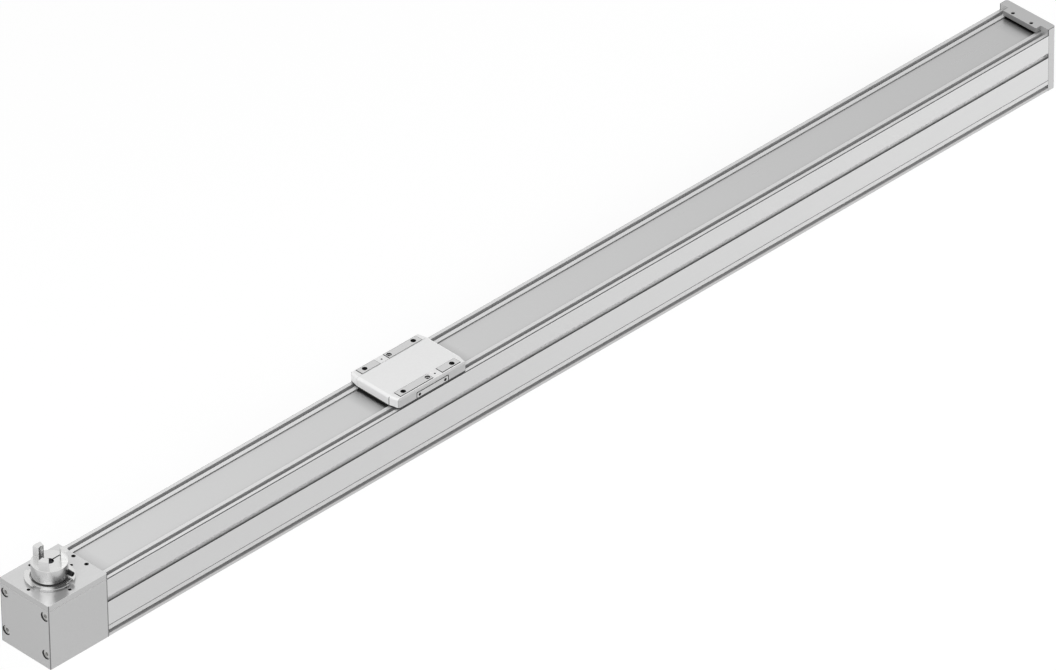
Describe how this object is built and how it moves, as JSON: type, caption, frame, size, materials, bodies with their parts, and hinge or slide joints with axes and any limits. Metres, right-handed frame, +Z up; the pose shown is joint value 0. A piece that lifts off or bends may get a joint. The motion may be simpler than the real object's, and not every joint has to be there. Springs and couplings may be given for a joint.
{
  "type": "toothed belt linear axis",
  "caption": "Linear axis with a toothed belt: a slide runs along an extruded profile under a steel cover strip, driven through a jaw coupling hub on the head.",
  "frame": {"origin": "under the middle of the axis, on the face that it lies on", "axes": "+X along the profile from the drive head to the end cap, +Y across it, +Z up through the slide"},
  "size_m": [1.22, 0.06, 0.093],
  "materials": {
    "anodised_aluminium": "matt clear anodised",
    "head_aluminium": "fine machined, anodised",
    "hub_aluminium": "turned",
    "strip_steel": "rolled, matt",
    "bearing_steel": "ground",
    "screw_steel": "zinc plated",
    "black_steel": "blackened",
    "black_rubber": "matt",
    "dark_plastic": "matt"
  },
  "bodies": {
    "frame": {"axis_profile": "anodised_aluminium", "end_cap": "anodised_aluminium", "idler_block": "anodised_aluminium", "drive_housing": "head_aluminium", "flange_plate": "head_aluminium", "centring_collar": "head_aluminium", "cover_strip": "strip_steel", "guide_rail": "bearing_steel", "idler_axle": "bearing_steel", "lower_bearing": "bearing_steel", "upper_bearing": "bearing_steel", "housing_screws": "screw_steel", "end_cap_screws": "screw_steel", "rail_screws": "screw_steel", "tension_screws": "screw_steel", "strip_screws_drive": "black_steel", "strip_screws_end": "black_steel", "buffer_drive": "black_rubber", "buffer_end": "black_rubber", "toothed_belt": "black_rubber", "strip_clamp_drive": "dark_plastic", "strip_clamp_end": "dark_plastic"},
    "drive": {"drive_shaft": "bearing_steel", "drive_pulley": "bearing_steel", "coupling_hub": "hub_aluminium", "hub_clamp_screw": "black_steel"},
    "idler": {"idler_pulley": "bearing_steel"},
    "carriage": {"slide_body": "anodised_aluminium", "slide_cover": "anodised_aluminium", "strip_lifter": "dark_plastic", "strip_wiper_front": "black_rubber", "strip_wiper_rear": "black_rubber", "guide_block": "bearing_steel", "block_end_cap_front": "dark_plastic", "block_end_cap_rear": "dark_plastic", "block_seal_front": "black_rubber", "block_seal_rear": "black_rubber", "slide_screws": "screw_steel", "belt_clamp": "anodised_aluminium", "belt_clamp_screws": "screw_steel", "magnet_holder": "dark_plastic", "position_magnet": "bearing_steel", "side_plate_near": "anodised_aluminium", "side_plate_far": "anodised_aluminium", "side_plate_screws": "black_steel", "lubrication_plugs": "screw_steel"}
  },
  "joints": [
    {"name": "carriage_slide", "type": "slide", "parent": "frame", "child": "carriage", "axis": [1, 0, 0], "range_m": [-0.3125, 0.6875], "deforming": ["cover_strip", "toothed_belt"]},
    {"name": "drive_spin", "type": "hinge", "parent": "frame", "child": "drive", "pos_m": [-0.5805, 0, 0], "axis": [0, 0, 1], "continuous": true},
    {"name": "idler_spin", "type": "hinge", "parent": "frame", "child": "idler", "pos_m": [0.5805, 0, 0], "axis": [0, 0, 1], "continuous": true}
  ],
  "couplings": [
    {"joint": "drive_spin", "follows": "carriage_slide", "rad_per_m": 80.554},
    {"joint": "idler_spin", "follows": "carriage_slide", "rad_per_m": 80.554}
  ]
}
